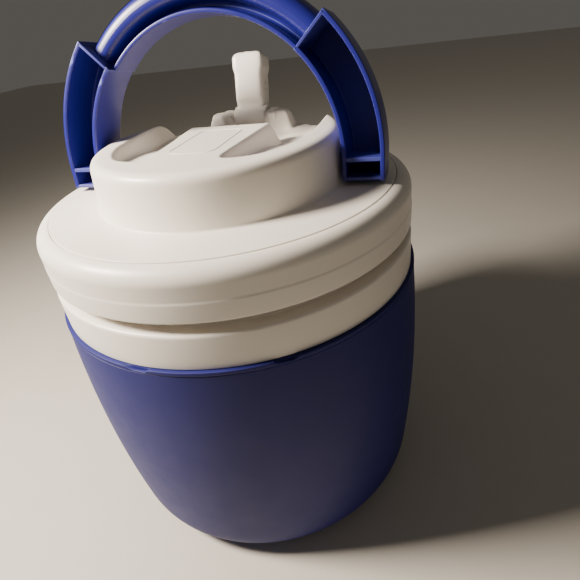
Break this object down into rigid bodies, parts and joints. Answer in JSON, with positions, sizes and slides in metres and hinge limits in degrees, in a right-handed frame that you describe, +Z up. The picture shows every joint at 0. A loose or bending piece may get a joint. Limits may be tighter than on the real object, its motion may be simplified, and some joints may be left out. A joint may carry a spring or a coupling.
{
  "type": "insulated drink jug",
  "caption": "Round foam-insulated drink jug with a blue jacket, a white screw lid with finger recesses, a flip-up spout at the back and a swinging bail handle.",
  "frame": {"origin": "centre of the flat foot ring, on the surface that the jug stands on", "axes": "+Z up along the jug's axis; X along the handle's pivots; -Y towards the plain front of the lid's finger bar, +Y towards the spout"},
  "size_m": [0.2142, 0.2142, 0.3072],
  "materials": {
    "jacket_blue": "moulded polyethylene, satin",
    "handle_blue": "moulded polypropylene, satin",
    "lid_white": "moulded polypropylene, satin",
    "spout_white": "moulded polypropylene, smooth",
    "liner": "moulded polyethylene, smooth",
    "foam": "poured polyurethane foam",
    "seal": "soft moulded silicone"
  },
  "bodies": {
    "jug": {"outer_jacket": "jacket_blue", "foam_fill_plug": "jacket_blue", "body_foam": "foam", "inner_liner": "liner", "collar_neck": "lid_white"},
    "lid_seal": {"lid_gasket": "seal"},
    "lid": {"lid_rim": "lid_white", "lid_deck": "lid_white", "lid_inner_cap": "lid_white", "lid_foam": "foam", "drink_sleeve": "lid_white", "spout_seal": "seal"},
    "spout": {"flip_spout": "spout_white"},
    "handle": {"bail_handle": "handle_blue"}
  },
  "joints": [
    {"name": "lid_rise", "type": "slide", "parent": "jug", "child": "lid_seal", "axis": [0, 0, 1], "range_m": [0, 0.0301]},
    {"name": "lid_unscrew", "type": "hinge", "parent": "lid_seal", "child": "lid", "pos_m": [0, 0, 0.195], "axis": [0, 0, 1], "range_deg": [0, 450]},
    {"name": "spout_flip", "type": "hinge", "parent": "lid", "child": "spout", "pos_m": [0, 0.0595, 0.229], "axis": [1, 0, 0], "range_deg": [0, 105]},
    {"name": "handle_swing", "type": "hinge", "parent": "lid", "child": "handle", "pos_m": [0, 0, 0.2196], "axis": [1, 0, 0], "range_deg": [-35, 8]}
  ],
  "couplings": [
    {"joint": "lid_rise", "follows": "lid_unscrew", "m_per_rad": 0.0038197}
  ]
}
